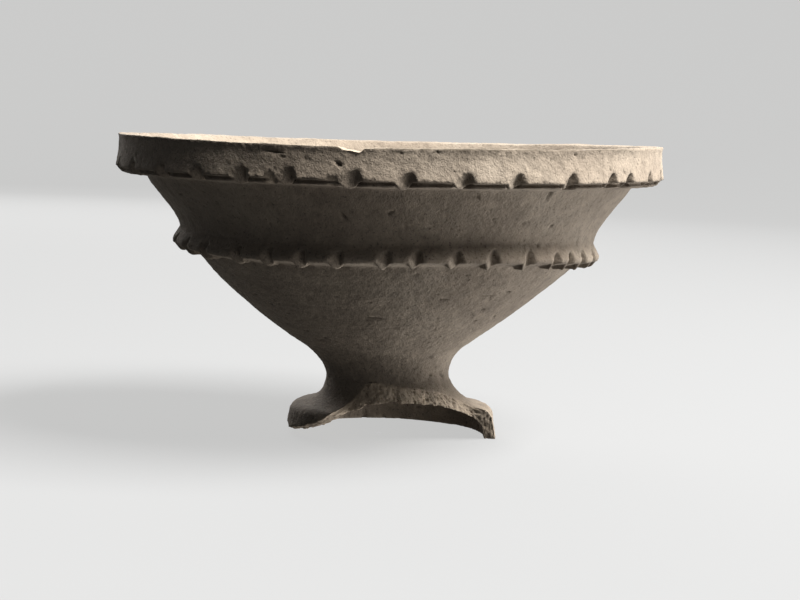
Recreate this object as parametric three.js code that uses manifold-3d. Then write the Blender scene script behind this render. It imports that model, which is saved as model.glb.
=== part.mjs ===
// A coarseware cup: a wide footed bowl of coarse fired clay, thrown on a wheel and finished by hand.
// A band of fingered notches runs under its rim and another round its flange. The front of its
// hollow foot has broken away. Sizes are in millimetres, +Z is up, and the front faces -Y.
// An azimuth is in degrees round the axis, 0 at the front and 90 at +X.
import * as THREE from 'three';
import { mergeVertices } from 'three/addons/utils/BufferGeometryUtils.js';
import Module from 'manifold-3d';

const { degToRad, radToDeg, lerp, smoothstep } = THREE.MathUtils;

// Driving dimensions: points of the turned section, each a radius and a height. A bend is the
// point that a curve leans towards between its two neighbours.
const FOOT = { rest: [39.2, 0], wall: [37.9, 9], wallBend: [37.1, 11.6] };
const SHOULDER = { edge: [33.2, 11.8], bend: [24.6, 13.6] };
const STEM = { neck: [22.9, 21.8], bend: [22.9, 28.4], flare: [30.6, 34] };
const BOWL = { bend: [47, 44.5], top: [70.7, 66.6] };
const FLANGE = { low: [79.1, 68.6], high: [78.7, 70.1], root: [76.7, 74.2] };
const WALL = { bend: [76.8, 79.5], top: [87.7, 92.2] };
const LIP = { fillet: [88.9, 94.1], root: [90.5, 94.9], under: [98.9, 95.9], edge: [100.4, 97] };
const RIM = { arris: [99.2, 106.4], bend: [98.9, 108.4], crest: [96.6, 108.6] };
const RIM_INSIDE = { top: [92.4, 108.2], edge: [90.2, 106.2] };
const INSIDE = { rimBend: [77.5, 90], waist: [70.2, 75.5], bend: [60, 62.5], floorEdge: [24, 38.5] };
const FLOOR = { bend: [13, 34.6], middle: [0, 34.6] };
const HOLLOW = { crown: [0, 19.5], bend: [17, 19.5], slope: [24, 14], shelf: [28.5, 10.6], edge: [33, 7.6] };
const HOLLOW_WALL = { top: [34.5, 4.8], rest: [35.2, 0] };

// Driving dimensions: how far the hand-made form strays from a true one, and the heights between
// which each of these grows or fades
const FOOT_SHIFT = { amount: 4.6, fades: [8, 41] };
const FOOT_TILT = { amount: 0.5, grows: [4, 11], fades: [14, 24] };
const BELLY_SHIFT = { amount: -1.0, grows: [20, 45], fades: [60, 100] };
const RIM_TILT = { amount: 1.5, grows: [60, 95] };
const RIM_SADDLE = { amount: 0.8, grows: [88, 108] };
const FLANGE_WAVE = { amount: 1.1, grows: [56, 69], fades: [72, 88] };
const UNROUND = { amount: 0.5, lobes: 3, turn: 0.8, grows: [30, 70] };

// Driving dimensions: the notches, pressed up and inwards, each with a tongue of clay below it.
// Width and height are those of the mark on the face, depth is how far in it reaches at the
// tongue's tip, and root is the radius where the tongue ends. The azimuths are those at the
// front, unevenly spaced as the hand left them.
const RIM_NOTCH = {
  width: 7.6, height: 3.8, depth: 7.2, edge: 97, face: 100.4, tongue: 3, root: 88.6,
  azimuths: [-61.5, -49, -38, -27.5, -18, -6, 5, 15.5, 26, 38.5, 49.5, 56, 67],
};
const FLANGE_NOTCH = {
  width: 6, height: 4.4, depth: 5.4, edge: 68.6, face: 79.1, tongue: 3.4, root: 71.5,
  azimuths: [-67, -58, -47.5, -38.5, -30.5, -20.5, -12, -3, 7.5, 17.5, 27, 38, 47.5, 53, 61, 69],
};
const TONGUE_REACH = 0.75;
const UNEVEN = { amount: 1.6, step: 2.4 };

// Driving dimensions: the broken front of the foot, as the heights of the fracture's outer and
// inner edges at each azimuth
const BREAK = [
  { azimuth: -78, outer: -1, inner: -1 },
  { azimuth: -70, outer: 1, inner: 0.6 },
  { azimuth: -60, outer: 3.4, inner: 2.6 },
  { azimuth: -51, outer: 5.6, inner: 4.4 },
  { azimuth: -44, outer: 7.4, inner: 6.2 },
  { azimuth: -38, outer: 10, inner: 9 },
  { azimuth: -34, outer: 13.6, inner: 10.9 },
  { azimuth: -26, outer: 17.5, inner: 12.5 },
  { azimuth: -21, outer: 20.2, inner: 13.8 },
  { azimuth: -13, outer: 21.5, inner: 14.2 },
  { azimuth: -4, outer: 21, inner: 14.8 },
  { azimuth: 6, outer: 20.2, inner: 15.2 },
  { azimuth: 19, outer: 19.5, inner: 14.3 },
  { azimuth: 38, outer: 18.5, inner: 13.7 },
  { azimuth: 53, outer: 17.2, inner: 12.5 },
  { azimuth: 66, outer: 14.8, inner: 10 },
  { azimuth: 72, outer: 12.2, inner: 8.6 },
  { azimuth: 79, outer: 8.2, inner: 5.1 },
  { azimuth: 85, outer: -1, inner: -1 },
];
const BREAK_STEP = 3.2;
const CRUMBLE = { amount: 0.45, coarse: 0.83, fine: 2.1, fineShare: 0.7 };

// Driving dimensions: chips in the rim's outer edge and in the edge of the lip, by azimuth
const RIM_CHIP = { from: -9.5, to: -0.5, depth: 2.5, inner: 90.5, innerShare: 0.76, step: 1.5 };
const LIP_CHIPS = [
  { from: -24.5, to: -20, depth: 2.2, step: 1.4 },
  { from: -13.5, to: -8, depth: 2.0, step: 1.4 },
];

// What is cut away reaches past the clay on every side, and past its surface by a little.
const FAR = 112;
const CORE = 10;
const CORE_TOP = 7;
const BELOW = -5;
const ABOVE = 116;
const PAST = 0.6;

const SEGMENTS = 48;

const clay = new THREE.MeshStandardMaterial({ color: 0x8c8173, roughness: 0.95, metalness: 0 });

// One stretch of the section: a curve from start to end that bends towards the control point.
function arc(start, control, end, divisions) {
  const points = [start, control, end].map(([r, z]) => new THREE.Vector2(r, z));
  return new THREE.QuadraticBezierCurve(...points).getPoints(divisions);
}

function line(...points) {
  return points.map(([r, z]) => new THREE.Vector2(r, z));
}

// The foot's outside, from its underside up to the narrowest part of the stem.
function footOutside() {
  return [
    ...line(FOOT.rest),
    ...arc(FOOT.wall, FOOT.wallBend, SHOULDER.edge, 2),
    ...arc(SHOULDER.edge, SHOULDER.bend, STEM.neck, 3),
  ];
}

// The hollow under the foot, from the middle of its roof down to the underside.
function footInside() {
  return [
    ...arc(HOLLOW.crown, HOLLOW.bend, HOLLOW.slope, 2),
    ...line(HOLLOW.shelf, HOLLOW.edge, HOLLOW_WALL.top, HOLLOW_WALL.rest),
  ];
}

// The stem, the lower bowl, the flange and the hollowed wall above it, up to the lip.
function bowlOutside() {
  return [
    ...arc(STEM.neck, STEM.bend, STEM.flare, 3),
    ...arc(STEM.flare, BOWL.bend, BOWL.top, 4),
    ...line(FLANGE.low, FLANGE.high),
    ...arc(FLANGE.root, WALL.bend, WALL.top, 4),
  ];
}

// The overhanging lip, the upright band above it and the rounded top of the rim.
function rimOutside() {
  return [
    ...line(LIP.fillet, LIP.root, LIP.under, LIP.edge),
    ...arc(RIM.arris, RIM.bend, RIM.crest, 2),
    ...line(RIM_INSIDE.top),
  ];
}

// The inside of the bowl, from the rim down to the middle of its floor.
function bowlInside() {
  return [
    ...arc(RIM_INSIDE.edge, INSIDE.rimBend, INSIDE.waist, 3),
    ...arc(INSIDE.waist, INSIDE.bend, INSIDE.floorEdge, 4),
    ...arc(INSIDE.floorEdge, FLOOR.bend, FLOOR.middle, 2),
  ];
}

// Leaves out a point that repeats the one before it, where two stretches meet.
function joined(points) {
  return points.filter((point, i) => i === 0 || point.distanceTo(points[i - 1]) > 1e-6);
}

// How much of an unevenness is there at a height.
function straying({ amount, grows, fades }, height) {
  const grown = grows ? smoothstep(height, ...grows) : 1;
  const faded = fades ? 1 - smoothstep(height, ...fades) : 1;
  return amount * grown * faded;
}

// A point of the clay at a radius, azimuth and height, with the hand-made unevenness added.
function place(radius, azimuth, height) {
  const angle = degToRad(azimuth);
  const reach = radius / LIP.edge[0];
  const shift = straying(FOOT_SHIFT, height) + straying(BELLY_SHIFT, height);
  const tilt = straying(RIM_TILT, height) * Math.sin(angle);
  const saddle = straying(RIM_SADDLE, height) * Math.cos(2 * angle);
  const wave = straying(FLANGE_WAVE, height) * Math.sin(2 * angle);
  const lean = straying(FOOT_TILT, height) * Math.sin(angle);
  const lobes = straying(UNROUND, height) * Math.cos(UNROUND.lobes * angle + UNROUND.turn);
  const reached = radius + lobes * reach;
  return new THREE.Vector3(
    shift + reached * Math.sin(angle),
    -reached * Math.cos(angle),
    height + (tilt - saddle) * reach + wave + lean,
  );
}

// The whole turned section, spun round the axis and then made uneven.
function turnedBody() {
  const section = joined([
    ...footInside(),
    ...footOutside(),
    ...bowlOutside(),
    ...rimOutside(),
    ...bowlInside(),
  ]);
  const geometry = new THREE.LatheGeometry(section, SEGMENTS);
  geometry.rotateX(Math.PI / 2);
  const position = geometry.getAttribute('position');
  for (let i = 0; i < position.count; i += 1) {
    const x = position.getX(i);
    const y = position.getY(i);
    const azimuth = radToDeg(Math.atan2(x, -y));
    const point = place(Math.hypot(x, y), azimuth, position.getZ(i));
    position.setXYZ(i, point.x, point.y, point.z);
  }
  return geometry;
}

// A closed solid swept round part of the axis. sectionAt gives the outline at an azimuth as radius
// and height pairs, counterclockwise with the radius to the right, always as many of them.
function swept(azimuths, sectionAt) {
  const rings = azimuths.map((azimuth) => sectionAt(azimuth).map(([r, z]) => place(r, azimuth, z)));
  const size = rings[0].length;
  const last = (rings.length - 1) * size;
  const faces = [];
  for (let k = 0; k < rings.length - 1; k += 1) {
    for (let j = 0; j < size; j += 1) {
      const next = (j + 1) % size;
      const here = k * size;
      const there = here + size;
      faces.push(here + j, there + j, there + next, here + j, there + next, here + next);
    }
  }
  for (let j = 1; j < size - 1; j += 1) {
    faces.push(0, j, j + 1, last, last + j + 1, last + j);
  }
  return new THREE.BufferGeometry().setFromPoints(rings.flat()).setIndex(faces);
}

function evenSteps(from, to, step) {
  const count = Math.max(2, Math.round((to - from) / step));
  return Array.from({ length: count + 1 }, (_, i) => lerp(from, to, i / count));
}

// The notches seen from the front, and as regular a row as a hand makes round the back.
function notchAzimuths({ azimuths }) {
  const first = azimuths[0] + 360;
  const last = azimuths[azimuths.length - 1];
  const spacing = (last - azimuths[0]) / (azimuths.length - 1);
  const behind = Math.round((first - last) / spacing) - 1;
  const hidden = Array.from({ length: behind }, (_, i) => {
    const even = lerp(last, first, (i + 1) / (behind + 1));
    return even + UNEVEN.amount * Math.sin(UNEVEN.step * i);
  });
  return [...azimuths, ...hidden];
}

// The azimuths of a notch's two sides and of its valley between them.
function acrossNotch(azimuth, { width, face }) {
  const half = radToDeg(width / 2 / face);
  return [azimuth - half, azimuth, azimuth + half];
}

// The tool's mark: widest at the edge, running up to a point on the face above it.
function notchCutter(azimuth, notch) {
  const { face, edge, height, depth, tongue } = notch;
  const low = edge - tongue - PAST;
  return swept(acrossNotch(azimuth, notch), (at) => {
    const valley = at === azimuth;
    const top = valley ? edge + height : edge - PAST;
    const reached = valley ? face - depth : face + PAST;
    return [[reached, low], [FAR, low], [FAR, top], [face + PAST / 2, top]];
  });
}

// The clay that the tool pushed down and inwards, hanging below the edge like a small tongue.
function tongueAt(azimuth, notch) {
  const { face, edge, root, tongue } = notch;
  return swept(acrossNotch(azimuth, notch), (at) => {
    const low = at === azimuth ? edge - tongue : edge - PAST;
    const outer = lerp(root, face, TONGUE_REACH);
    return [[root, low], [outer, low], [outer, edge + PAST], [root, edge + PAST]];
  });
}

// The value of a column of the fracture's table at an azimuth between two of its rows.
function breakHeight(azimuth, column) {
  const i = Math.max(1, BREAK.findIndex((row) => row.azimuth >= azimuth));
  const [a, b] = [BREAK[i - 1], BREAK[i]];
  return lerp(a[column], b[column], (azimuth - a.azimuth) / (b.azimuth - a.azimuth));
}

// The radius at which a stretch of the section stands at a height.
function radiusAt(stretch, height) {
  const rising = [...stretch].sort((a, b) => a.y - b.y);
  const i = rising.findIndex((point) => point.y >= height);
  if (i <= 0) {
    return rising[i === 0 ? 0 : rising.length - 1].x;
  }
  const [a, b] = [rising[i - 1], rising[i]];
  return lerp(a.x, b.x, (height - a.y) / (b.y - a.y));
}

// The grain of the fracture, a small rise and fall with the azimuth.
function crumble(azimuth, phase) {
  const { amount, coarse, fine, fineShare } = CRUMBLE;
  return amount * (Math.sin(coarse * azimuth + phase) + fineShare * Math.sin(fine * azimuth + 2 * phase));
}

// What has broken out of the foot's front.
function footLoss() {
  const outside = footOutside();
  const inside = footInside();
  const steps = evenSteps(BREAK[0].azimuth, BREAK[BREAK.length - 1].azimuth, BREAK_STEP);
  return swept(steps, (azimuth) => {
    const outer = breakHeight(azimuth, 'outer') + crumble(azimuth, 0);
    const inner = breakHeight(azimuth, 'inner') + crumble(azimuth, 2);
    const outerRadius = radiusAt(outside, outer);
    const innerRadius = radiusAt(inside, inner);
    const middle = lerp(outerRadius, innerRadius, 0.5) - PAST - crumble(azimuth, 4);
    return [
      [CORE, BELOW],
      [FAR, BELOW],
      [FAR, outer],
      [outerRadius, outer],
      [middle, lerp(outer, inner, 0.5)],
      [innerRadius, inner - PAST],
      [CORE, Math.min(inner - PAST, CORE_TOP)],
    ];
  });
}

// How deep a chip is at an azimuth: nothing at its ends and most between them.
function chipDepth(azimuth, { from, to, depth }) {
  return depth * Math.sin((Math.PI * (azimuth - from)) / (to - from));
}

// The flake off the rim, right across its top and sloping down and out.
function rimChip() {
  const { from, to, inner, innerShare, step } = RIM_CHIP;
  const crest = RIM.crest[1];
  return swept(evenSteps(from, to, step), (azimuth) => {
    const depth = chipDepth(azimuth, RIM_CHIP);
    return [[inner, crest - innerShare * depth], [FAR, crest - depth], [FAR, ABOVE], [inner, ABOVE]];
  });
}

// A bite out of the lip's edge, from below and outside.
function lipChip(chip) {
  const [face, edge] = LIP.edge;
  return swept(evenSteps(chip.from, chip.to, chip.step), (azimuth) => {
    const cut = chipDepth(azimuth, chip);
    const low = LIP.under[1] - PAST;
    return [[face - 2 * cut, low], [FAR, low], [FAR, edge + cut], [face, edge + cut]];
  });
}

const library = await Module();
library.setup();

function solidFrom(geometry) {
  const bare = geometry.clone();
  bare.deleteAttribute('normal');
  bare.deleteAttribute('uv');
  const merged = mergeVertices(bare, 1e-4);
  return new library.Manifold(new library.Mesh({
    numProp: 3,
    vertProperties: new Float32Array(merged.getAttribute('position').array),
    triVerts: new Uint32Array(merged.index.array),
  }));
}

function geometryFrom(solid) {
  const mesh = solid.getMesh();
  const geometry = new THREE.BufferGeometry();
  geometry.setAttribute('position', new THREE.BufferAttribute(mesh.vertProperties, 3));
  geometry.setIndex(new THREE.BufferAttribute(mesh.triVerts, 1));
  return geometry;
}

function cupGeometry() {
  const notches = [RIM_NOTCH, FLANGE_NOTCH];
  const tongues = notches.flatMap((notch) => notchAzimuths(notch).map((azimuth) => tongueAt(azimuth, notch)));
  const cuts = notches.flatMap((notch) => notchAzimuths(notch).map((azimuth) => notchCutter(azimuth, notch)));
  const losses = [footLoss(), rimChip(), ...LIP_CHIPS.map(lipChip)];
  let solid = solidFrom(turnedBody());
  for (const tongue of tongues) {
    solid = solid.add(solidFrom(tongue));
  }
  for (const cut of [...cuts, ...losses]) {
    solid = solid.subtract(solidFrom(cut));
  }
  return geometryFrom(solid);
}

// The cup stands on z = 0 with its axis through the middle of its width and depth.
function standing(geometry) {
  geometry.computeBoundingBox();
  const { min, max } = geometry.boundingBox;
  return geometry.translate(-(min.x + max.x) / 2, -(min.y + max.y) / 2, -min.z);
}

const cup = new THREE.Mesh(standing(cupGeometry()), clay);
cup.name = 'cup';

const group = new THREE.Group();
group.add(cup);

export default group;
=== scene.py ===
# A coarseware cup: a wide footed bowl of coarse fired clay, thrown on a wheel and finished by hand.
# A band of fingered notches runs under its rim and another round its flange. The front of its
# hollow foot has broken away. The clay's sizes are in millimetres and the studio's in metres.
# An azimuth is in degrees round the axis, 0 at the front (-Y) and 90 at +X.
import math

import bpy
import numpy as np
from mathutils import Matrix, Vector


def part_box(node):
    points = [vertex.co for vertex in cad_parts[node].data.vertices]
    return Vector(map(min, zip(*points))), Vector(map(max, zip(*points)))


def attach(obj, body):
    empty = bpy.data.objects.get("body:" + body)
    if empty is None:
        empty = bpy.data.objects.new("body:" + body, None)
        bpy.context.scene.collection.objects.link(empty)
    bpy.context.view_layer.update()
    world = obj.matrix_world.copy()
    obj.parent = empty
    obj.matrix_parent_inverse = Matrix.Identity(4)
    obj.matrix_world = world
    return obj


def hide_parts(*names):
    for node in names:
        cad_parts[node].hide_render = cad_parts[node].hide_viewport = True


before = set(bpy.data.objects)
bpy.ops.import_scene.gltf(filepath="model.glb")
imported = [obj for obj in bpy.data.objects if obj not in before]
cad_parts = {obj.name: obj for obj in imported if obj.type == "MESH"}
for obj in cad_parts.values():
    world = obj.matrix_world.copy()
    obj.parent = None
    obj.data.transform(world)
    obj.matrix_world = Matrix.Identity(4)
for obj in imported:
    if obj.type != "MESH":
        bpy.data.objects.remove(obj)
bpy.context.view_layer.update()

MM = 0.001

# The turned section, each point a radius and a height. A bend is the point that a curve leans
# towards between its two neighbours.
FOOT = {"rest": (39.2, 0), "wall": (37.9, 9), "wall_bend": (37.1, 11.6)}
SHOULDER = {"edge": (33.2, 11.8), "bend": (24.6, 13.6)}
STEM = {"neck": (22.9, 21.8), "bend": (22.9, 28.4), "flare": (30.6, 34)}
BOWL = {"bend": (47, 44.5), "top": (70.7, 66.6)}
FLANGE = {"low": (78.6, 68.4), "high": (78.9, 69.8), "root": (76.4, 74.3)}
WALL = {"bend": (76.8, 79.5), "top": (87.7, 92.2)}
LIP = {
    "fillet": (88.9, 94.1),
    "root": (90.6, 94.8),
    "bead_foot": (98.0, 95.4),
    "bead": (98.7, 95.9),
    "groove": (97.6, 96.7),
    "under": (98.3, 97.2),
    "edge": (100.4, 97.3),
}
RIM = {"crest": (98.8, 108.6), "arris": (99.6, 108.5), "brow": (99.3, 106.9), "waist": (99.3, 103)}
RIM_INSIDE = {"top": (92.4, 108.2), "edge": (90.2, 106.2)}
INSIDE = {"rim_bend": (77.5, 90), "waist": (70.2, 75.5), "bend": (60, 62.5), "floor_edge": (24, 38.5)}
FLOOR = {"bend": (13, 34.6), "middle": (0, 34.6)}
HOLLOW = {"crown": (0, 19.5), "bend": (17, 19.5), "slope": (24, 14), "shelf": (28.5, 10.6), "edge": (33, 7.6)}
HOLLOW_WALL = {"top": (34.5, 4.8), "rest": (35.2, 0)}

# How far the hand-made form strays from a true one, and the heights between which each of these
# grows or fades
FOOT_SHIFT = {"amount": 4.6, "fades": (8, 41)}
FOOT_TILT = {"amount": 0.5, "grows": (4, 11), "fades": (14, 24)}
BELLY_SHIFT = {"amount": -1.0, "grows": (20, 45), "fades": (50, 76)}
RIM_TILT = {"amount": 1.5, "grows": (60, 95)}
RIM_SADDLE = {"amount": 0.8, "grows": (88, 108)}
FLANGE_WAVE = {"amount": 1.0, "grows": (56, 68), "fades": (72, 88)}
# The flange's rise or fall at each azimuth, as a multiple of its wave's amount
FLANGE_RISE = [
    (-135, 1.4), (-90, 1.3), (-60, 0.1), (-45, -0.3), (-30, -0.1), (-15, 0.4), (0, 1), (15, 1.5),
    (30, 1.8), (45, 1.4), (60, 0.8), (90, -0.3), (135, -0.6), (180, 0.6),
]
# The lobes that make the bowl unround, their number and their turn in radians
UNROUND = {"amount": 0.5, "grows": (30, 70)}
UNROUND_LOBES = 3
UNROUND_TURN = 0.8

# The notches, pressed up and inwards, each with a tongue of clay below it. Depth is how far in the
# mark reaches at the tongue's tip, root the radius where the tongue ends, and lean how far to the
# left its middle lies at the edge. Left is the share of its width on the left of its middle, and
# arch the power by which it deepens downwards, under 1 where it is soon deep. Each front notch has
# its azimuth and its own width, height above the edge and tongue below it. Usual gives these for
# the others, and seed is for how they vary.
RIM_NOTCH = {
    "depth": 4.2, "edge": 97.3, "face": 100.4, "root": 88.9, "lean": 0.7, "usual": (6.6, 3.4, 2.2),
    "front": [
        (-61.5, 6.2, 2.8, 2.2), (-49, 6.7, 2.8, 2.2), (-38, 6.4, 2.6, 2.2), (-27.5, 7.3, 3.3, 2.4),
        (-17.8, 7.4, 4.0, 2.2), (-5.4, 8.4, 3.7, 2.6), (4.6, 7.3, 3.3, 2.7), (15.5, 7.0, 3.6, 2.0),
        (26, 6.6, 3.6, 2.1), (38.5, 6.4, 3.6, 1.6), (50.3, 5.8, 3.4, 1.5), (56.8, 5.6, 3.3, 1.6),
        (67, 5.6, 3.5, 1.5),
    ],
    "left": 0.62, "arch": 0.55, "seed": 3,
}
FLANGE_NOTCH = {
    "depth": 3.6, "edge": 68.4, "face": 78.9, "root": 69.4, "lean": 0.3, "usual": (5.6, 4.0, 2.2),
    "front": [
        (-75, 5.6, 4.0, 2.3), (-63, 6.0, 4.2, 2.4), (-52, 6.0, 4.0, 2.3), (-38.7, 5.8, 4.0, 2.2),
        (-28.9, 5.8, 4.2, 2.2), (-19.7, 6.0, 3.8, 2.2), (-10.3, 6.0, 3.8, 2.0), (1.3, 5.8, 4.0, 2.2),
        (8.9, 5.4, 4.2, 2.0), (19.1, 6.2, 4.0, 2.0), (29.2, 5.8, 4.4, 2.3), (40.6, 5.6, 4.2, 2.3),
        (51, 5.0, 3.4, 2.2), (57.5, 5.0, 3.8, 2.4), (65, 5.2, 4.2, 2.4), (75, 5.4, 4.2, 2.4),
    ],
    "left": 0.72, "arch": 0.42, "seed": 4,
}
# The rounding of a notch's deepest line
NOTCH_VALLEY = 0.15
# How far the other notches stray from even places, in degrees, as a sine with this step in
# radians, and the share by which their sizes vary
UNEVEN = {"amount": 1.6, "step": 2.4}
NOTCH_SPREAD = 0.12
# A tongue's half width and how far it lies to the left, as shares of its notch's width, how far
# above the edge the clay is drawn down for it, and the share of the underside that it grows over
TONGUE_SHARE = 0.42
TONGUE_SIDE = 0.22
TONGUE_RISE = 4.5
TONGUE_BLEND = 0.35
# How far the notched rows reach past the rim's brow, past each edge and past the flange's root
BAND_REACH = {"inside_brow": 0.3, "below_edge": 0.15}
RIDGE_REACH = {"above_root": 1, "below_edge": 0.2}

# The broken front of the foot: the heights of the fracture's outer and inner edges by azimuth
BREAK = [
    (-95, -1, -1), (-88, 1.2, 0.8), (-79, 1.9, 1.5), (-70, 3, 2.4), (-60, 4.2, 3.4),
    (-51, 5.8, 4.8), (-44, 7.4, 6.2), (-38, 10, 9), (-34, 13.6, 10.9), (-26, 17.5, 12.5),
    (-21, 20.2, 13.8), (-13, 21.5, 14.2), (-4, 21, 14.8), (6, 20.2, 15.2), (19, 19.5, 14.3),
    (38, 18.5, 13.7), (53, 17.2, 12.5), (66, 14.8, 10), (72, 12.2, 8.6), (79, 8.2, 5.1),
    (85, -1, -1),
]

# How ragged the fracture's edges are, each grain as its amount in millimetres, size in degrees and
# seed, and the heights of the outer edge between which the clay turns from whole to broken
OUTER_RAG = [(0.5, 9, 11), (0.15, 3.3, 12)]
INNER_RAG = [(0.4, 8, 13), (0.15, 2.9, 14)]
BREAK_GROWS = (0.3, 2.5)

# Where the fracture is palest, and how fresh it looks elsewhere
PALE_BREAK = {"azimuths": (-44, 40), "fade": 12, "least": 0.35}

# A line of painted shade along the rim's outer edge, where it turns over at the top. It grows with
# height from above to above + rise, and its strength varies round the rim by uneven about usual,
# with grains of this size in degrees.
PAINTED_RIM_SHADE = {
    "azimuths": (-66, 62), "fade": 12, "above": 107.6, "rise": 0.5,
    "mark": 1.2, "usual": 0.75, "uneven": 0.35, "grain": 5, "seed": 61,
}

# The worn lower edge of the foot beside the break, on the left. It is set back by depth at the
# bottom and by nothing at height, and its depth is uneven with grains of this size in degrees.
LOBE_WEAR = {
    "azimuths": (-124, -74), "fade": 12, "height": 3.8, "depth": 3.0,
    "uneven": 0.3, "grain": 7, "seed": 15,
}

# The flake off the top of the rim, as its depth at each azimuth. The depth is for its inner radius
# and grows by the share more towards its outer one. It varies by the share uneven, and where it is
# less than least nothing is taken off.
RIM_CHIP = [
    (-9.2, 0), (-7.9, 1.1), (-6.6, 1.3), (-5.3, 1.7), (-4.7, 1.5), (-4.1, 0.5), (-1.3, 0.25), (0.6, 0),
]
RIM_CHIP_SLOPE = {"inner": 90.5, "outer": 99.5, "more": 0.1}
RIM_CHIP_EDGE = {"uneven": 0.3, "least": 0.02}

# The bites out of the lip's lower edge. A bite's depth is how high up it reaches, and it goes
# inwards by a multiple of that, most of all just below the bead. Uneven and least are as above.
LIP_CHIPS = [
    {"from": -23.6, "to": -20.2, "depth": 2.9},
    {"from": -12, "to": -7.6, "depth": 1.8},
]
LIP_BITE = {"inwards": 2, "below_bead": 1, "uneven": 0.4, "least": 0.05}

# How ragged the flake and the bites are, each grain as its amount, size in degrees and seed, and how
# much their faces look like the fracture's
CHIP_RAG = [(0.5, 1.6, 21), (0.3, 0.7, 22)]
CHIP_FRESHNESS = 0.35

# The larger scars: azimuth, height, half length, half width, turn in degrees against the clock as
# seen from outside, and depth
SCARS = [
    (-21.2, 105.0, 4.3, 0.42, -4, 0.8), (-8.8, 101.8, 1.5, 0.8, -30, 0.9), (2.8, 106.1, 0.7, 0.5, 0, 0.5),
    (-19.8, 103.6, 1.3, 0.42, -5, 0.4), (9.4, 107.0, 0.7, 0.5, 20, 0.5), (38.5, 107.6, 0.7, 0.6, 0, 0.5),
    (-9.3, 84.6, 2.4, 0.8, -60, 0.8), (1.4, 86.3, 1.6, 0.6, 40, 0.5), (45.8, 82.8, 1.0, 0.7, 40, 0.7),
    (20.2, 92.0, 1.1, 0.6, 40, 0.6), (38.4, 94.2, 0.8, 0.5, 0, 0.6), (26.3, 85.3, 1.0, 0.5, 50, 0.4),
    (-1.2, 48.1, 4.5, 0.42, -5, 0.6), (-3.3, 54.2, 1.0, 0.42, -5, 0.6), (-14.8, 55.6, 1.0, 0.42, 0, 0.5),
    (-41.0, 47.3, 1.0, 0.42, -10, 0.5), (-40.0, 40.6, 1.0, 0.42, -10, 0.5),
    (-47.7, 50.1, 1.0, 0.42, -10, 0.5), (13.2, 41.9, 1.1, 0.42, 10, 0.5),
    (-30.6, 38.5, 1.3, 0.42, -5, 0.5), (37.8, 57.3, 3.9, 0.5, 3, 0.7), (46.5, 58.3, 1.6, 0.55, 8, 0.7),
    (42.3, 51.6, 1.3, 0.55, 10, 0.7), (45.0, 46.7, 1.3, 0.55, 15, 0.7), (55.1, 48.1, 1.0, 0.55, 30, 0.7),
    (21.7, 55.9, 1.9, 0.42, 4, 0.5),
]

# A dent's floor and outer edge and the window of the grid that holds it, as shares of its size
DENT = {"floor": 0.3, "edge": 1.15, "window": 1.6}
# How far outside the rim's crest the rows begin that a scar may lie on
SCAR_START = 0.5

# The lumps and grit of the surface, each layer as its size and amount in millimetres and its seed.
# The throwing lines wander by a little on their way round, and the noise that they are drawn from
# is closed round a circle of this radius. Lines and lumps are faint on the fracture.
THROWING_LINES = [(1.3, 0.02, 31), (2.6, 0.035, 32), (6.5, 0.10, 33)]
THROWING = {"wander": 0.5, "circle": 6}
LUMPS = (22, 0.30, 41)
GRIT = [(8, 0.13, 42), (3.2, 0.08, 43), (1.6, 0.10, 44), (0.9, 0.09, 45)]
FRACTURE_GRIT = [(4.5, 0.25, 51), (2.0, 0.22, 52), (1.0, 0.26, 53)]
FAINT_ON_FRACTURE = 0.8

# The pits and scratches strewn over each stretch of rows: how many, the ranges of their half
# length, of their half width as a share of it and of their depth, the middle and spread of their
# turn in radians and, where not all round, their azimuths
STREWN = [
    ("band", 110, (0.4, 1.3), (0.4, 0.9), (0.15, 0.45), (0, 0.9)),
    ("outside", 300, (0.5, 1.8), (0.25, 0.7), (0.12, 0.4), (-0.6, 0.5)),
    ("low_outside", 110, (0.9, 3.2), (0.15, 0.35), (0.2, 0.5), (0, 0.35)),
    ("inside", 320, (0.6, 2.2), (0.3, 0.9), (0.15, 0.5), (0, 0.8)),
    ("foot_outside", 60, (0.5, 1.3), (0.3, 0.9), (0.15, 0.4), (0, 0.9)),
    ("foot_inside", 90, (0.6, 1.8), (0.3, 0.9), (0.15, 0.5), (0, 0.9)),
    ("underside", 120, (0.3, 0.6), (0.6, 0.9), (0.2, 0.4), (0, 1.5), (-45, 20)),
    ("underside", 220, (0.3, 0.8), (0.6, 0.9), (0.25, 0.55), (0, 1.5), (20, 84)),
]
STREWN_SEED = 7
# The height under which the outside counts as low, the range of how much painted shade darkens a
# dent, and the half width under which a dent is shallower in proportion
LOW_OUTSIDE = 64
DENT_SHADE_RANGE = (0.2, 0.9)
SHALLOWER_UNDER = 0.5

# How finely the surface is made: its columns, the steps between its rows in millimetres and the
# number of rows of the foot's parts.
COLUMNS = 1080
COARSER = 1
FINE_STEP = 0.55 * COARSER
RIM_STEP = 0.3 * COARSER
INSIDE_STEP = 1.1 * COARSER
FRACTURE_ROWS = 24 // COARSER
FOOT_ROWS = 60 // COARSER
ROOF_ROWS = 64 // COARSER
# How finely the section itself is drawn, before its corners are worn and its rows are spaced out
ARC_POINTS = 24
PATH_STEP = 0.05
MOST_TRIANGLES = 192000

# How far corners are worn round, and how many times as far to each side the wear is felt
SOFTENED = 0.32
RIM_SOFTENED = 0.17
WEAR_REACH = 4
# How far the fracture's look runs on past its edges, and how far the clay keeps inside its box
FRACTURE_EDGE = 1.3
MARGIN = 0.02

# The noise: how many slopes it draws from, how far it may be shifted, the gain that brings it to
# about -1 to 1, and the primes that pick a slope for each corner of a cell
NOISE = {"slopes": 4096, "shift": 64, "gain": 1.6}
NOISE_PRIMES = (73856093, 19349663, 83492791)
# Points closer than this are one, and lengths are taken as no shorter than this before a division
SAME_POINT = 1e-6
TINY = 1e-9


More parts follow.
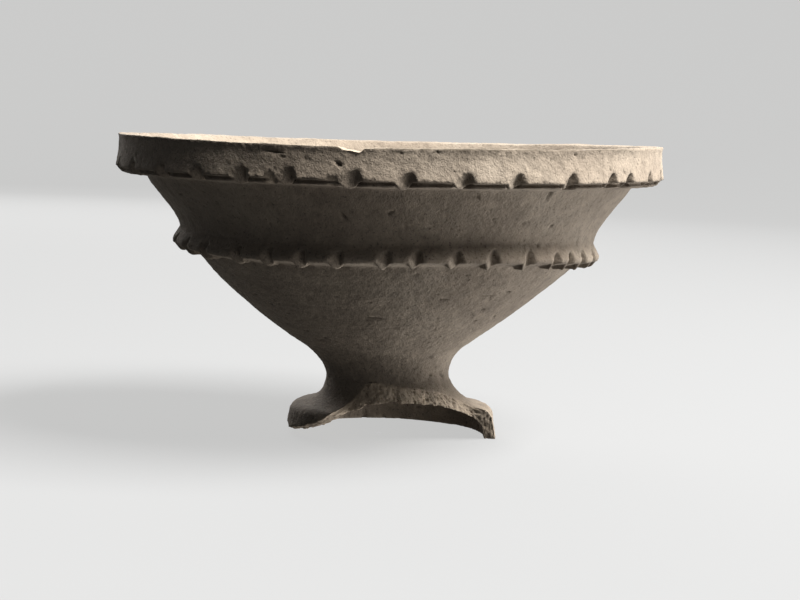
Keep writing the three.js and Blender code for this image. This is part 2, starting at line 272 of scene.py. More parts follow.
def smooth(x, low, high):
    """0 below low, 1 above high and an even rise between."""
    t = np.clip((x - low) / (high - low), 0, 1)
    return t * t * (3 - 2 * t)


def mix(a, b, share):
    return a + (b - a) * share


def between(azimuth, mark):
    """1 over a mark's range of azimuths, fading to 0 at the range's ends."""
    low, high = mark["azimuths"]
    fade = mark["fade"]
    return smooth(azimuth, low, low + fade) * (1 - smooth(azimuth, high - fade, high))


def arc(start, lean, end):
    t = np.linspace(0, 1, ARC_POINTS)[:, None]
    start, lean, end = (np.array(p, float) for p in (start, lean, end))
    return (1 - t) ** 2 * start + 2 * (1 - t) * t * lean + t ** 2 * end


def line(*points):
    return np.array(points, float)


def lengths(path):
    """The distance along a path at each of its points."""
    steps = np.hypot(*np.diff(path, axis=0).T)
    return np.concatenate([[0], np.cumsum(steps)])


def at_lengths(path, wanted):
    """The radii and heights of a path at these distances along it."""
    along = lengths(path)
    return np.interp(wanted, along, path[:, 0]), np.interp(wanted, along, path[:, 1])


def softened(path, wear=SOFTENED):
    """A path with its corners worn round, its ends kept where they are."""
    along = lengths(path)
    radius, height = at_lengths(path, np.arange(0, along[-1], PATH_STEP))
    reach = int(WEAR_REACH * wear / PATH_STEP)
    weight = np.exp(-0.5 * (np.arange(-reach, reach + 1) * PATH_STEP / wear) ** 2)
    weight /= weight.sum()
    worn = []
    for values in (radius, height):
        first = 2 * values[0] - values[reach:0:-1]
        last = 2 * values[-1] - values[-2:-reach - 2:-1]
        worn.append(np.convolve(np.concatenate([first, values, last]), weight, mode="valid"))
    return np.stack(worn, axis=1)


def joined(*stretches):
    path = np.concatenate(stretches)
    apart = np.hypot(*np.diff(path, axis=0).T) > SAME_POINT
    return path[np.concatenate([[True], apart])]


def bowl_inside():
    return joined(
        arc(FLOOR["middle"], FLOOR["bend"], INSIDE["floor_edge"]),
        arc(INSIDE["floor_edge"], INSIDE["bend"], INSIDE["waist"]),
        arc(INSIDE["waist"], INSIDE["rim_bend"], RIM_INSIDE["edge"]),
    )


def rim_outside():
    return joined(
        line(RIM_INSIDE["edge"], RIM_INSIDE["top"]),
        line(RIM["crest"], RIM["arris"]),
        arc(RIM["brow"], RIM["waist"], LIP["edge"]),
        line(*(LIP[key] for key in ("under", "groove", "bead", "bead_foot", "root", "fillet"))),
    )


def bowl_outside():
    return joined(
        arc(WALL["top"], WALL["bend"], FLANGE["root"]),
        line(FLANGE["high"], FLANGE["low"]),
        arc(BOWL["top"], BOWL["bend"], STEM["flare"]),
        arc(STEM["flare"], STEM["bend"], STEM["neck"]),
    )


def foot_outside():
    return joined(
        arc(STEM["neck"], SHOULDER["bend"], SHOULDER["edge"]),
        arc(SHOULDER["edge"], FOOT["wall_bend"], FOOT["wall"]),
        line(FOOT["rest"]),
    )


def foot_inside():
    return joined(
        line(HOLLOW_WALL["rest"], HOLLOW_WALL["top"], HOLLOW["edge"], HOLLOW["shelf"]),
        arc(HOLLOW["slope"], HOLLOW["bend"], HOLLOW["crown"]),
    )


def gradient_noise(points, size, seed):
    """Smooth noise between about -1 and 1 with lumps of this size, the same each run."""
    chance = np.random.RandomState(seed)
    table = chance.normal(size=(NOISE["slopes"], 3))
    table /= np.linalg.norm(table, axis=1)[:, None]
    shift = chance.uniform(0, NOISE["shift"], 3)
    place = points / size + shift
    cell = np.floor(place).astype(np.int64)
    local = place - cell
    fade = local ** 3 * (local * (local * 6 - 15) + 10)
    total = np.zeros(len(points))
    for corner in np.ndindex(2, 2, 2):
        at = cell + corner
        key = np.bitwise_xor.reduce(at * NOISE_PRIMES, axis=1)
        slope = table[key % NOISE["slopes"]]
        share = np.prod(np.where(corner, fade, 1 - fade), axis=1)
        total += share * np.einsum("ij,ij->i", slope, local - corner)
    return total * NOISE["gain"]


def straying(what, height):
    """How much there is, at a height, of one way in which the form strays from a true one."""
    grown = smooth(height, *what["grows"]) if "grows" in what else 1
    faded = 1 - smooth(height, *what["fades"]) if "fades" in what else 1
    return what["amount"] * grown * faded


def place(radius, azimuth, height):
    """Points of the clay at a radius, azimuth and height, with the hand-made unevenness added."""
    angle = np.radians(azimuth)
    reach = radius / LIP["edge"][0]
    shift = straying(FOOT_SHIFT, height) + straying(BELLY_SHIFT, height)
    tilt = straying(RIM_TILT, height) * np.sin(angle)
    saddle = straying(RIM_SADDLE, height) * np.cos(2 * angle)
    rise_at, rise = np.array(FLANGE_RISE, float).T
    wave = straying(FLANGE_WAVE, height) * np.interp(azimuth, rise_at, rise, period=360)
    foot_lean = straying(FOOT_TILT, height) * np.sin(angle)
    lobes = straying(UNROUND, height) * np.cos(UNROUND_LOBES * angle + UNROUND_TURN)
    reached = radius + lobes * reach
    return np.stack([
        shift + reached * np.sin(angle),
        -reached * np.cos(angle),
        height + (tilt - saddle) * reach + wave + foot_lean,
    ], axis=-1)


class Notches:
    """A row of notches round the cup, and at each column the nearest one's own sizes."""

    def __init__(self, spec, azimuth):
        self.spec = spec
        first = spec["front"][0][0] + 360
        last = spec["front"][-1][0]
        spacing = (last - spec["front"][0][0]) / (len(spec["front"]) - 1)
        behind = round((first - last) / spacing) - 1
        chance = np.random.RandomState(spec["seed"])
        rows = list(spec["front"])
        for i in range(behind):
            even = mix(last, first, (i + 1) / (behind + 1))
            sizes = np.array(spec["usual"]) * (1 + NOTCH_SPREAD * chance.uniform(-1, 1, 3))
            rows.append((even + UNEVEN["amount"] * math.sin(UNEVEN["step"] * i), *sizes))
        centres, width, height, tongue = np.array(rows).T
        away = (azimuth[:, None] - centres + 180) % 360 - 180
        nearest = np.abs(away).argmin(axis=1)
        self.offset = np.radians(away[np.arange(len(azimuth)), nearest]) * spec["face"]
        self.width = width[nearest]
        self.height = height[nearest]
        self.tongue = tongue[nearest]
        self.depth = spec["depth"]
        self.lean = spec["lean"]

    def tongue_drop(self):
        """How far the clay below the edge has been pushed down, by column."""
        across = (self.offset + self.lean + TONGUE_SIDE * self.width) / (TONGUE_SHARE * self.width)
        return self.tongue * np.clip(1 - across ** 2, 0, 1)

    def cut(self, height):
        """How far in the tool's mark goes at a height, by row and column."""
        edge = self.spec["edge"]
        whole = self.height + self.tongue
        down = np.clip((edge + self.height - height) / whole, 0, 1)
        at_edge = (self.height / whole) ** self.spec["arch"]
        valley = self.depth * down ** self.spec["arch"]
        middle = -self.lean * np.clip((edge + self.height - height) / self.height, 0, 1)
        across = self.offset - middle
        share = np.where(across < 0, self.spec["left"], 1 - self.spec["left"])
        slope = self.depth * at_edge / (share * self.width)
        rounded = np.sqrt(across ** 2 + NOTCH_VALLEY ** 2) - NOTCH_VALLEY
        return np.maximum(valley - slope * rounded, 0)

    def carve(self, radius, height, band, under):
        """Cuts the band of rows above the edge and hangs the tongues from the rows under it."""
        edge, face, root = (self.spec[key] for key in ("edge", "face", "root"))
        drop = self.tongue_drop()
        stretched = 1 - smooth(height[band], edge, edge + TONGUE_RISE)
        height[band] -= drop * stretched
        radius[band] -= self.cut(height[band])
        share = np.clip((radius[under] - root) / (face - root), 0, 1)
        tip = face - self.cut((edge - drop)[None, :])
        height[under] = np.minimum(height[under], edge - drop * smooth(share, 0, TONGUE_BLEND))
        radius[under] = root + (radius[under] - root) * (tip - root) / (face - root)


class Grid:
    """The clay's surface as rows along the section and columns round the axis."""

    def __init__(self):
        self.azimuth = np.arange(COLUMNS) * 360 / COLUMNS - 180
        self.radius = []
        self.height = []
        self.parts = {}
        self.count = 0

    def add(self, name, radius, height):
        """Adds a part's rows, whose values may be given once for all columns."""
        for rows, values in ((self.radius, radius), (self.height, height)):
            rows.append(values if values.ndim == 2 else np.repeat(values[:, None], COLUMNS, axis=1))
        self.parts[name] = slice(self.count, self.count + len(radius))
        self.count += len(radius)

    def add_path(self, name, path, step, wear=SOFTENED):
        worn = softened(path, wear)
        along = lengths(worn)[-1]
        wanted = np.linspace(0, along, max(2, round(along / step)) + 1)
        self.add(name, *at_lengths(worn, wanted[1:]))

    def close(self):
        self.radius = np.concatenate(self.radius)
        self.height = np.concatenate(self.height)

    def rows(self, name, test):
        """The rows of a part whose radius and height at the cup's back pass a test."""
        part = self.parts[name]
        radius = self.radius[part, 0]
        height = self.height[part, 0]
        found = np.flatnonzero(test(radius, height)) + part.start
        return slice(found[0], found[-1] + 1)


def grain(azimuth, size, seed):
    """Noise round the cup, by azimuth, with grains of this size in degrees."""
    points = np.stack([azimuth, np.zeros_like(azimuth), np.zeros_like(azimuth)], axis=1)
    return gradient_noise(points, size, seed)


def raggedness(azimuth, grains):
    return sum(amount * grain(azimuth, size, seed) for amount, size, seed in grains)


def lobe_wear(azimuth, height):
    """How far the foot's worn lower edge is set back at a height."""
    uneven = 1 + LOBE_WEAR["uneven"] * grain(azimuth, LOBE_WEAR["grain"], LOBE_WEAR["seed"])
    low = np.clip(1 - height / LOBE_WEAR["height"], 0, 1)
    return LOBE_WEAR["depth"] * uneven * between(azimuth, LOBE_WEAR) * low


def broken_foot(grid):
    """Adds the foot's outside, its ring or the fracture, and its hollow. Returns how broken each is."""
    azimuth = grid.azimuth
    angles, outer, inner = np.array(BREAK, float).T
    outer_height = np.interp(azimuth, angles, outer) + raggedness(azimuth, OUTER_RAG)
    inner_height = np.interp(azimuth, angles, inner) + raggedness(azimuth, INNER_RAG)
    whole = (azimuth < angles[0]) | (azimuth > angles[-1])
    outer_height = np.where(whole, 0, np.maximum(outer_height, 0))
    inner_height = np.where(whole, 0, np.maximum(inner_height, 0))
    outside = softened(foot_outside())
    inside = softened(foot_inside())
    out_along = lengths(outside)
    in_along = lengths(inside)
    out_end = np.interp(-outer_height, -outside[:, 1], out_along)
    in_start = np.interp(inner_height, np.maximum.accumulate(inside[:, 1]), in_along)
    share = np.linspace(0, 1, FOOT_ROWS + 1)[1:, None]
    radius, height = at_lengths(outside, share * out_end)
    radius -= lobe_wear(azimuth, height)
    grid.add("foot_outside", radius, height)
    roof_share = np.linspace(0, 1, ROOF_ROWS + 1)[:-1, None]
    roof = at_lengths(inside, in_start + roof_share * (in_along[-1] - in_start))
    across = np.linspace(0, 1, FRACTURE_ROWS + 2)[1:-1, None]
    grid.add("underside", mix(radius[-1], roof[0][0], across), mix(height[-1], roof[1][0], across))
    grid.add("foot_inside", *roof)
    broken = np.where(whole, 0, smooth(outer_height, *BREAK_GROWS))
    return {
        "foot_outside": broken * (1 - smooth(out_end * (1 - share), 0, FRACTURE_EDGE)),
        "underside": broken * np.ones_like(across),
        "foot_inside": broken * (1 - smooth((in_along[-1] - in_start) * roof_share, 0, FRACTURE_EDGE)),
    }


def chipped(grid):
    """Takes the flake off the rim and the bites out of the lip's edge. Returns how fresh each is."""
    azimuth = grid.azimuth
    rim = grid.parts["rim"]
    radius = grid.radius[rim]
    height = grid.height[rim]
    ragged = raggedness(azimuth, CHIP_RAG)
    angles, depths = np.array(RIM_CHIP, float).T
    depth = np.interp(azimuth, angles, depths)
    depth = np.maximum(depth * (1 + RIM_CHIP_EDGE["uneven"] * ragged), 0)
    inner, outer = RIM_CHIP_SLOPE["inner"], RIM_CHIP_SLOPE["outer"]
    outward = np.clip((radius - inner) / (outer - inner), 0, 1)
    limit = RIM["crest"][1] - depth * (1 + RIM_CHIP_SLOPE["more"] * outward)
    off_rim = (depth > RIM_CHIP_EDGE["least"]) & (height > limit)
    height[:] = np.where(off_rim, limit, height)
    face, edge = LIP["edge"]
    low = LIP["bead"][1] - LIP_BITE["below_bead"]
    bitten = np.zeros_like(radius, bool)
    for chip in LIP_CHIPS:
        across = np.clip((azimuth - chip["from"]) / (chip["to"] - chip["from"]), 0, 1)
        uneven = LIP_BITE["uneven"] * ragged * (across > 0) * (across < 1)
        cut = np.maximum(chip["depth"] * (np.sin(np.pi * across) + uneven), 0)
        top = edge + cut
        inwards = LIP_BITE["inwards"] * cut
        limit = face - inwards + inwards * np.clip((height - low) / (top - low), 0, 1)
        bite = (cut > LIP_BITE["least"]) & (height < top) & (radius > limit)
        radius[:] = np.where(bite, limit, radius)
        bitten |= bite
    return CHIP_FRESHNESS * (off_rim | bitten)


def paleness(azimuth):
    """How pale the fracture is by azimuth: palest at the front of the foot."""
    return mix(PALE_BREAK["least"], 1, between(azimuth, PALE_BREAK))


def normals_of(points):
    """The unit normal at each point of the grid, pointing out of the clay."""
    along = np.gradient(points, axis=0)
    around = np.roll(points, -1, axis=1) - np.roll(points, 1, axis=1)
    normal = np.cross(around, along)
    size = np.linalg.norm(normal, axis=2, keepdims=True)
    return normal / np.maximum(size, TINY)


class Relief:
    """A height above the smooth clay at each point of the grid, and how much painted shade it has."""

    def __init__(self, grid, points):
        self.grid = grid
        self.points = points
        self.rise = np.zeros(points.shape[:2])
        self.painted_shade = np.zeros(points.shape[:2])
        steps = np.linalg.norm(np.diff(points, axis=0), axis=2)
        self.row_step = np.concatenate([steps[:1], steps]).mean(axis=1)
        self.ring = np.hypot(*np.moveaxis(points[..., :2], 2, 0)).mean(axis=1)
        self.column_step = np.maximum(self.ring, 1) * 2 * np.pi / COLUMNS

    def noise(self, size, amount, seed, mask=1, points=None):
        """Lumps of this size, drawn from the grid's points or from others that stand for them."""
        flat = (self.points if points is None else points).reshape(-1, 3)
        self.rise += amount * gradient_noise(flat, size, seed).reshape(self.rise.shape) * mask

    def window(self, row, column, reach):
        """The rows, columns and distances in mm round a point of the grid."""
        up = int(reach / self.row_step[row]) + 1
        side = min(int(reach / self.column_step[row]) + 1, COLUMNS // 4)
        rows = np.arange(max(row - up, 0), min(row + up + 1, len(self.row_step)))
        columns = np.arange(column - side, column + side + 1)
        down = (rows - row)[:, None] * self.row_step[row]
        right = (columns - column)[None, :] * self.column_step[rows][:, None]
        return np.ix_(rows, columns % COLUMNS), right, down

    def dent(self, row, column, size, turn, depth, mark=1.0):
        """An oval hollow with painted shade in it: size is its half length and half width, turn its angle in
        radians, and mark how strong its painted shade is.
        """
        where, right, down = self.window(row, column, size[0] * DENT["window"])
        along = right * math.cos(turn) + down * math.sin(turn)
        aside = down * math.cos(turn) - right * math.sin(turn)
        far = np.hypot(along / size[0], aside / size[1])
        shape = 1 - smooth(far, DENT["floor"], DENT["edge"])
        self.rise[where] -= depth * shape
        self.painted_shade[where] = np.maximum(self.painted_shade[where], mark * shape)

    def scar(self, azimuth, height, long, wide, turn, depth):
        """A dent in the outside, at the height where it is on the finished cup."""
        column = int(round((azimuth + 180) / 360 * COLUMNS)) % COLUMNS
        first = self.grid.rows("rim", lambda r, z: r > RIM["crest"][0] + SCAR_START).start
        heights = self.points[first:self.grid.parts["outside"].stop, column, 2]
        row = first + np.abs(heights - height).argmin()
        self.dent(row, column, (long, wide), -math.radians(turn), depth)

    def paint_rim_shade(self):
        """Paints shade on the rim's outer edge, darker in some places than in others."""
        rim = self.grid.parts["rim"]
        azimuth = self.grid.azimuth
        ragged = grain(azimuth, PAINTED_RIM_SHADE["grain"], PAINTED_RIM_SHADE["seed"])
        uneven = PAINTED_RIM_SHADE["usual"] + PAINTED_RIM_SHADE["uneven"] * ragged
        top = smooth(self.grid.height[rim], PAINTED_RIM_SHADE["above"], PAINTED_RIM_SHADE["above"] + PAINTED_RIM_SHADE["rise"])
        outer = self.grid.radius[rim] > RIM["crest"][0]
        mark = PAINTED_RIM_SHADE["mark"] * top * outer * between(azimuth, PAINTED_RIM_SHADE) * uneven
        self.painted_shade[rim] = np.maximum(self.painted_shade[rim], np.clip(mark, 0, 1))

    def scatter(self, rows, count, chance, half, slim, depth, tilt, azimuths=(-180, 180)):
        """Dents strewn evenly over a run of rows."""
        inside = np.arange(rows.start, rows.stop)
        area = (self.ring * self.row_step)[inside]
        picked = chance.choice(inside, count, p=area / area.sum())
        low, high = azimuths
        spots = chance.uniform(low, high, count)
        for row, spot in zip(picked, spots):
            column = int(round((spot + 180) / 360 * COLUMNS)) % COLUMNS
            long = half[0] * (half[1] / half[0]) ** chance.uniform() ** 2
            wide = long * chance.uniform(*slim)
            turn = chance.normal(tilt[0], tilt[1])
            mark = chance.uniform(*DENT_SHADE_RANGE)
            deep = chance.uniform(*depth) * min(1, wide / SHALLOWER_UNDER)
            self.dent(row, column, (long, wide), turn, deep, mark)


def weathered(grid, points, broken, chips):
    """The finished relief, and how far each point is part of the fracture or of a chip."""
    relief = Relief(grid, points)
    fracture = chips.copy()
    for name, amount in broken.items():
        part = grid.parts[name]
        fracture[part] = np.maximum(fracture[part], amount)
    plain = 1 - FAINT_ON_FRACTURE * fracture
    along = np.cumsum(relief.row_step)[:, None] * np.ones(COLUMNS)
    drift = np.radians(grid.azimuth)[None, :] * np.ones((len(along), 1))
    circle = THROWING["circle"]
    rings = np.stack([
        along + THROWING["wander"] * np.sin(drift),
        circle * np.cos(drift),
        circle * np.sin(drift),
    ], axis=2)
    for layer in THROWING_LINES:
        relief.noise(*layer, plain, rings)
    relief.noise(*LUMPS, plain)
    for layer in GRIT:
        relief.noise(*layer)
    for layer in FRACTURE_GRIT:
        relief.noise(*layer, fracture)
    crest, under = RIM["crest"][0], LIP["under"][1]
    stretches = {
        **grid.parts,
        "band": grid.rows("rim", lambda r, z: (r > crest) & (z > under)),
        "low_outside": grid.rows("outside", lambda r, z: z < LOW_OUTSIDE),
    }
    chance = np.random.RandomState(STREWN_SEED)
    for where, count, *ranges in STREWN:
        relief.scatter(stretches[where], count, chance, *ranges)
    for scar in SCARS:
        relief.scar(*scar)
    relief.paint_rim_shade()
    return relief, fracture


def surface_mesh(name, points, painted_shade, fracture):
    """One closed mesh from the grid, with a point at each end of the section on the axis."""
    rows, columns = points.shape[:2]
    first = points[0].mean(axis=0)
    last = points[-1].mean(axis=0)
    places = np.concatenate([points.reshape(-1, 3), [first, last]])
    here = np.arange(rows * columns).reshape(rows, columns)
    there = np.roll(here, -1, axis=1)
    quads = np.stack([here[:-1], there[:-1], there[1:], here[1:]], axis=-1).reshape(-1, 4)
    start = np.stack([np.full(columns, rows * columns), there[0], here[0]], axis=1)
    end = np.stack([np.full(columns, rows * columns + 1), here[-1], there[-1]], axis=1)
    triangles = np.concatenate([quads[:, [0, 1, 2]], quads[:, [0, 2, 3]], start, end])
    mesh = bpy.data.meshes.new(name)
    mesh.vertices.add(len(places))
    mesh.vertices.foreach_set("co", (places * MM).astype(np.float32).ravel())
    mesh.loops.add(triangles.size)
    mesh.loops.foreach_set("vertex_index", triangles.astype(np.int32).ravel())
    mesh.polygons.add(len(triangles))
    mesh.polygons.foreach_set("loop_start", np.arange(0, triangles.size, 3, dtype=np.int32))
    mesh.update(calc_edges=True)
    tone = mesh.color_attributes.new("tone", "FLOAT_COLOR", "POINT")
    values = np.zeros((len(places), 4), np.float32)
    # The first channel is the painted shade, the second how far the clay is part of the fracture or a chip
    values[:-2, 0] = painted_shade.ravel()
    values[:-2, 1] = fracture.ravel()
    values[:, 3] = 1
    tone.data.foreach_set("color", values.ravel())
    return mesh


def thinned(piece):
    """Thins a piece to no more than MOST_TRIANGLES triangles, and shades it smooth."""
    count = len(piece.data.polygons)
    if count > MOST_TRIANGLES:
        modifier = piece.modifiers.new("thinned", "DECIMATE")
        modifier.ratio = MOST_TRIANGLES / count
        graph = bpy.context.evaluated_depsgraph_get()
        fewer = bpy.data.meshes.new_from_object(piece.evaluated_get(graph))
        piece.modifiers.clear()
        piece.data = fewer
    piece.data.polygons.foreach_set("use_smooth", np.ones(len(piece.data.polygons), bool))


def kept_within(mesh, low, high):
    """Moves a mesh's points back inside a box, given in millimetres."""
    places = np.empty(3 * len(mesh.vertices), np.float32)
    mesh.vertices.foreach_get("co", places)
    places = np.clip(places.reshape(-1, 3), low * MM, high * MM)
    mesh.vertices.foreach_set("co", places.astype(np.float32).ravel())
    mesh.update()


def outward(points):
    """True if the grid's triangles face out of the clay, from the sign of the volume they hold."""
    a = points[:-1]
    b = np.roll(points, -1, axis=1)[:-1]
    c = np.roll(points, -1, axis=1)[1:]
    return np.einsum("ijk,ijk->", a, np.cross(b, c)) > 0


def build_cup():
    grid = Grid()
    grid.add_path("inside", bowl_inside(), INSIDE_STEP)
    grid.add_path("rim", rim_outside(), RIM_STEP, RIM_SOFTENED)
    grid.add_path("outside", bowl_outside(), FINE_STEP)
    broken = broken_foot(grid)
    grid.close()
    edge = LIP["edge"][1]
    brow, top = RIM["brow"]
    inmost = brow - BAND_REACH["inside_brow"]
    lowest = edge - BAND_REACH["below_edge"]
    band = grid.rows("rim", lambda r, z: (r > inmost) & (z > lowest) & (z < top))
    under = slice(band.stop, grid.parts["rim"].stop)
    low = FLANGE_NOTCH["edge"] - RIDGE_REACH["below_edge"]
    high = FLANGE["root"][1] + RIDGE_REACH["above_root"]
    ridge = grid.rows("outside", lambda r, z: (z > low) & (z < high))
    below = grid.rows("outside", lambda r, z: (z <= low) & (r > FLANGE_NOTCH["root"]))
    Notches(RIM_NOTCH, grid.azimuth).carve(grid.radius, grid.height, band, under)
    Notches(FLANGE_NOTCH, grid.azimuth).carve(grid.radius, grid.height, ridge, below)
    chips = np.zeros_like(grid.radius)
    chips[grid.parts["rim"]] = chipped(grid)
    smooth_points = place(grid.radius, grid.azimuth[None, :], grid.height)
    relief, fracture = weathered(grid, smooth_points, broken, chips)
    normals = normals_of(smooth_points)
    inside_out = not outward(smooth_points)
    if inside_out:
        normals = -normals
    points = smooth_points + normals * relief.rise[..., None]
    low_corner = smooth_points.min(axis=(0, 1))
    high_corner = smooth_points.max(axis=(0, 1))
    box_low, box_high = (np.array(corner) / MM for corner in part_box("cup"))
    shift = (box_low + box_high) / 2 - (low_corner + high_corner) / 2
    shift[2] = box_low[2] - low_corner[2]
    points = np.clip(points + shift, box_low + MARGIN, box_high - MARGIN)
    mesh = surface_mesh("cup_clay", points, relief.painted_shade, fracture * paleness(grid.azimuth))
    piece = bpy.data.objects.new("cup_clay", mesh)
    bpy.context.scene.collection.objects.link(piece)
    if inside_out:
        mesh.flip_normals()
    thinned(piece)
    kept_within(piece.data, box_low + MARGIN, box_high - MARGIN)
    return piece


# The clay's colours, in three layers: the drift of its brown over the cup, and the mottling and the
# grit that multiply it. Each is a noise, as its scale, detail and roughness, and the colours along it.
DRIFT = {
    "noise": (26, 3, 0.6),
    "colours": [
        (0.30, (0.185, 0.148, 0.112)),
        (0.55, (0.228, 0.186, 0.142)),
        (0.75, (0.262, 0.218, 0.170)),
    ],
}
MOTTLING = {
    "noise": (170, 4, 0.65),
    "colours": [
        (0.30, (0.72, 0.71, 0.70)),
        (0.70, (1.20, 1.20, 1.19)),
    ],
}
SPECKS = {
    "noise": (1000, 2, 0.6),
    "colours": [
        (0.30, (0.42, 0.41, 0.40)),
        (0.41, (1.0, 1.0, 1.0)),
        (0.64, (1.0, 1.0, 1.0)),
        (0.74, (1.35, 1.34, 1.30)),
    ],
}
LAYER_SHARE = 0.8
# What the clay's colour is multiplied by on the fracture, and under the painted shade in the dents and along
# the rim's outer edge
FRESH = (1.9, 1.88, 1.84)
PAINTED_SHADE_TINT = (0.45, 0.44, 0.42)
# The finish, and the bumps that are too fine for the mesh, with their depth in metres
FINISH = {"roughness": 0.92, "specular": 0.25}
BUMPS = [
    {"noise": (520, 3, 0.65), "strength": 0.8, "depth": 0.0005},
    {"noise": (1700, 2, 0.6), "strength": 0.7, "depth": 0.0002},
]
# The numbers of the mix node's colour sockets, which share their names with its other sockets
MIX_COLOURS = {"in": (6, 7), "out": 2}


def node(tree, kind, **settings):
    made = tree.nodes.new(kind)
    for key, value in settings.items():
        if key in made.inputs:
            made.inputs[key].default_value = value
        else:
            setattr(made, key, value)
    return made


def ramp(tree, source, stops):
    made = tree.nodes.new("ShaderNodeValToRGB")
    elements = made.color_ramp.elements
    while len(elements) < len(stops):
        elements.new(0.5)
    for element, (position, colour) in zip(elements, stops):
        element.position = position
        element.color = (*colour, 1)
    tree.links.new(source, made.inputs["Fac"])
    return made.outputs["Color"]


def noise_texture(tree, place_from, scale, detail, roughness):
    made = node(tree, "ShaderNodeTexNoise", Scale=scale, Detail=detail, Roughness=roughness)
    tree.links.new(place_from, made.inputs["Vector"])
    return made.outputs["Fac"]


def blended(tree, kind, share, a, b):
    """Two colours mixed. Each of share, a and b is a socket, or a plain value where it may be."""
    made = tree.nodes.new("ShaderNodeMix")
    made.data_type = "RGBA"
    made.blend_type = kind
    sockets = made.inputs["Factor"], *(made.inputs[index] for index in MIX_COLOURS["in"])
    for socket, value in zip(sockets, (share, a, b)):
        if isinstance(value, bpy.types.NodeSocket):
            tree.links.new(value, socket)
        elif isinstance(value, tuple):
            socket.default_value = (*value, 1)
        else:
            socket.default_value = value
    return made.outputs[MIX_COLOURS["out"]]


def clay_material():
    material = bpy.data.materials.new("clay")
    material.use_nodes = True
    tree = material.node_tree
    tree.nodes.clear()
    output = tree.nodes.new("ShaderNodeOutputMaterial")
    shader = node(tree, "ShaderNodeBsdfPrincipled", Roughness=FINISH["roughness"])
    shader.inputs["Specular IOR Level"].default_value = FINISH["specular"]
    tree.links.new(shader.outputs["BSDF"], output.inputs["Surface"])
    place_from = tree.nodes.new("ShaderNodeTexCoord").outputs["Object"]
    tone = node(tree, "ShaderNodeAttribute", attribute_name="tone")
    painted_shade_and_break = tree.nodes.new("ShaderNodeSeparateColor")
    tree.links.new(tone.outputs["Color"], painted_shade_and_break.inputs["Color"])
    drift, mottling, specks = (
        ramp(tree, noise_texture(tree, place_from, *layer["noise"]), layer["colours"])
        for layer in (DRIFT, MOTTLING, SPECKS)
    )
    body = blended(tree, "MULTIPLY", LAYER_SHARE, drift, mottling)
    body = blended(tree, "MULTIPLY", LAYER_SHARE, body, specks)
    fresh = blended(tree, "MULTIPLY", 1.0, body, FRESH)
    body = blended(tree, "MIX", painted_shade_and_break.outputs["Green"], body, fresh)
    # Painted shade, in the dents and along the rim's outer edge
    painted_shade_body = blended(tree, "MULTIPLY", 1.0, body, PAINTED_SHADE_TINT)
    body = blended(tree, "MIX", painted_shade_and_break.outputs["Red"], body, painted_shade_body)
    tree.links.new(body, shader.inputs["Base Color"])
    coarse, fine = (
        node(tree, "ShaderNodeBump", Strength=layer["strength"], Distance=layer["depth"])
        for layer in BUMPS
    )
    for bump, layer in zip((coarse, fine), BUMPS):
        tree.links.new(noise_texture(tree, place_from, *layer["noise"]), bump.inputs["Height"])
    tree.links.new(coarse.outputs["Normal"], fine.inputs["Normal"])
    tree.links.new(fine.outputs["Normal"], shader.inputs["Normal"])
    return material


# The studio: a pale floor that curves up all round, so that it has no edge from any side. The hub
# and the ring are the radii of the two circles inside its flat part.
COVE = {"hub": 0.001, "ring": 0.4, "flat": 1.9, "bend": 0.9, "top": 2.6, "segments": 96, "bend_points": 13}
FLOOR_COLOUR = (0.07, 0.07, 0.07)
PALE = (1.0, 1.0, 0.99)
FLOOR_GLOW = 0.54

# The lights: each one's place round the cup, its width and height in metres and its power in
# watts. All but the bounce are aimed at the middle of the cup, and the bounce is aimed upwards.
CUP_MIDDLE = (0, 0, 0.06)
KEY = {"azimuth": 74, "elevation": 55, "distance": 1.7, "size": (1.3, 0.7), "power": 140}
SIDE = {"azimuth": 114, "elevation": -22, "distance": 1.7, "size": (1.0, 0.7), "power": 30}
BACK = {"azimuth": -162, "elevation": 28, "distance": 1.8, "size": (1.2, 0.9), "power": 30}
BOUNCE = {"place": (0.9, 0, -0.4), "aim": (0.9, 0, 1), "size": (1.2, 2.4), "power": 11}
AMBIENT = 0.02


def floor_material():
    material = bpy.data.materials.new("pale_floor")
    material.use_nodes = True
    shader = material.node_tree.nodes["Principled BSDF"]
    shader.inputs["Base Color"].default_value = (*FLOOR_COLOUR, 1)
    shader.inputs["Roughness"].default_value = 1
    shader.inputs["Specular IOR Level"].default_value = 0
    shader.inputs["Emission Color"].default_value = (*PALE, 1)
    shader.inputs["Emission Strength"].default_value = FLOOR_GLOW
    return material


def build_cove():
    bend = [
        (COVE["flat"] + COVE["bend"] * math.sin(t), COVE["bend"] * (1 - math.cos(t)))
        for t in np.linspace(0, math.pi / 2, COVE["bend_points"])
    ]
    wall_top = (COVE["flat"] + COVE["bend"], COVE["top"])
    outline = [(COVE["hub"], 0.0), (COVE["ring"], 0.0), *bend, wall_top]
    count = COVE["segments"]
    places = [
        (radius * math.sin(2 * math.pi * i / count), -radius * math.cos(2 * math.pi * i / count), height)
        for radius, height in outline for i in range(count)
    ]
    faces = [
        (k * count + i, k * count + (i + 1) % count, (k + 1) * count + (i + 1) % count, (k + 1) * count + i)
        for k in range(len(outline) - 1) for i in range(count)
    ]
    faces.append(tuple(range(count)))
    mesh = bpy.data.meshes.new("studio_floor")
    mesh.from_pydata(places, [], faces)
    mesh.polygons.foreach_set("use_smooth", np.ones(len(mesh.polygons), bool))
    mesh.materials.append(floor_material())
    floor = bpy.data.objects.new("studio_floor", mesh)
    floor.visible_diffuse = False
    floor.visible_shadow = False
    bpy.context.scene.collection.objects.link(floor)


def aimed(location, target):
    """The turn that points an object's -Z at a target."""
    return (Vector(target) - Vector(location)).to_track_quat("-Z", "Y").to_euler()


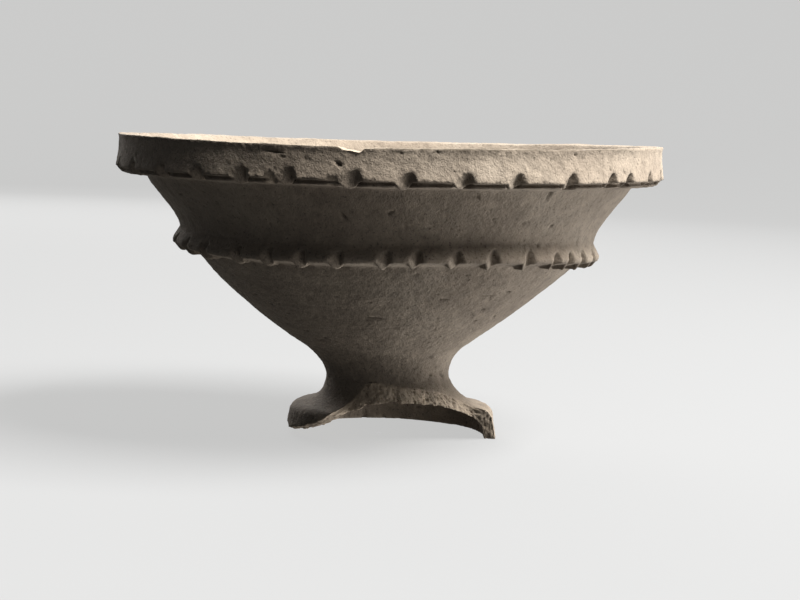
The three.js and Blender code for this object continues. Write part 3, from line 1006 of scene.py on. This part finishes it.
def area_light(name, location, target, size, power):
    data = bpy.data.lights.new(name, "AREA")
    data.shape = "RECTANGLE"
    data.size, data.size_y = size
    data.energy = power
    light = bpy.data.objects.new(name, data)
    light.location = location
    light.rotation_euler = aimed(location, target)
    bpy.context.scene.collection.objects.link(light)


def round_the_cup(azimuth, elevation, distance):
    """A place at this azimuth and elevation in degrees and this distance from the origin."""
    a, e = math.radians(azimuth), math.radians(elevation)
    return (
        distance * math.sin(a) * math.cos(e),
        -distance * math.cos(a) * math.cos(e),
        distance * math.sin(e),
    )


def build_lights():
    for name, spec in (("key", KEY), ("side", SIDE), ("back", BACK)):
        location = round_the_cup(spec["azimuth"], spec["elevation"], spec["distance"])
        area_light(name, location, CUP_MIDDLE, spec["size"], spec["power"])
    area_light("bounce", BOUNCE["place"], BOUNCE["aim"], BOUNCE["size"], BOUNCE["power"])
    world = bpy.data.worlds.new("studio")
    world.use_nodes = True
    background = world.node_tree.nodes["Background"]
    background.inputs["Color"].default_value = (1, 1, 1, 1)
    background.inputs["Strength"].default_value = AMBIENT
    bpy.context.scene.world = world


# The camera stands a little right of the cup and above its rim, and is tipped slightly to one side.
# Down and roll are in degrees, lens and sensor in millimetres, place and near in metres.
CAMERA = {
    "place": (0.0058, -0.703, 0.1166), "down": 5.4, "roll": 2.4, "lens": 85.5, "sensor": 36, "near": 0.02,
}


def build_camera():
    data = bpy.data.cameras.new("camera")
    data.lens = CAMERA["lens"]
    data.sensor_width = CAMERA["sensor"]
    data.clip_start = CAMERA["near"]
    camera = bpy.data.objects.new("camera", data)
    tip = Matrix.Rotation(math.radians(90 - CAMERA["down"]), 4, "X")
    roll = Matrix.Rotation(math.radians(CAMERA["roll"]), 4, "Z")
    camera.matrix_world = Matrix.Translation(CAMERA["place"]) @ tip @ roll
    bpy.context.scene.collection.objects.link(camera)
    bpy.context.scene.camera = camera


build_camera()
build_lights()
build_cove()
cup = build_cup()
cup.data.materials.clear()
cup.data.materials.append(clay_material())
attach(cup, "root")
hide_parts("cup")

bpy.context.scene.view_settings.view_transform = "Standard"
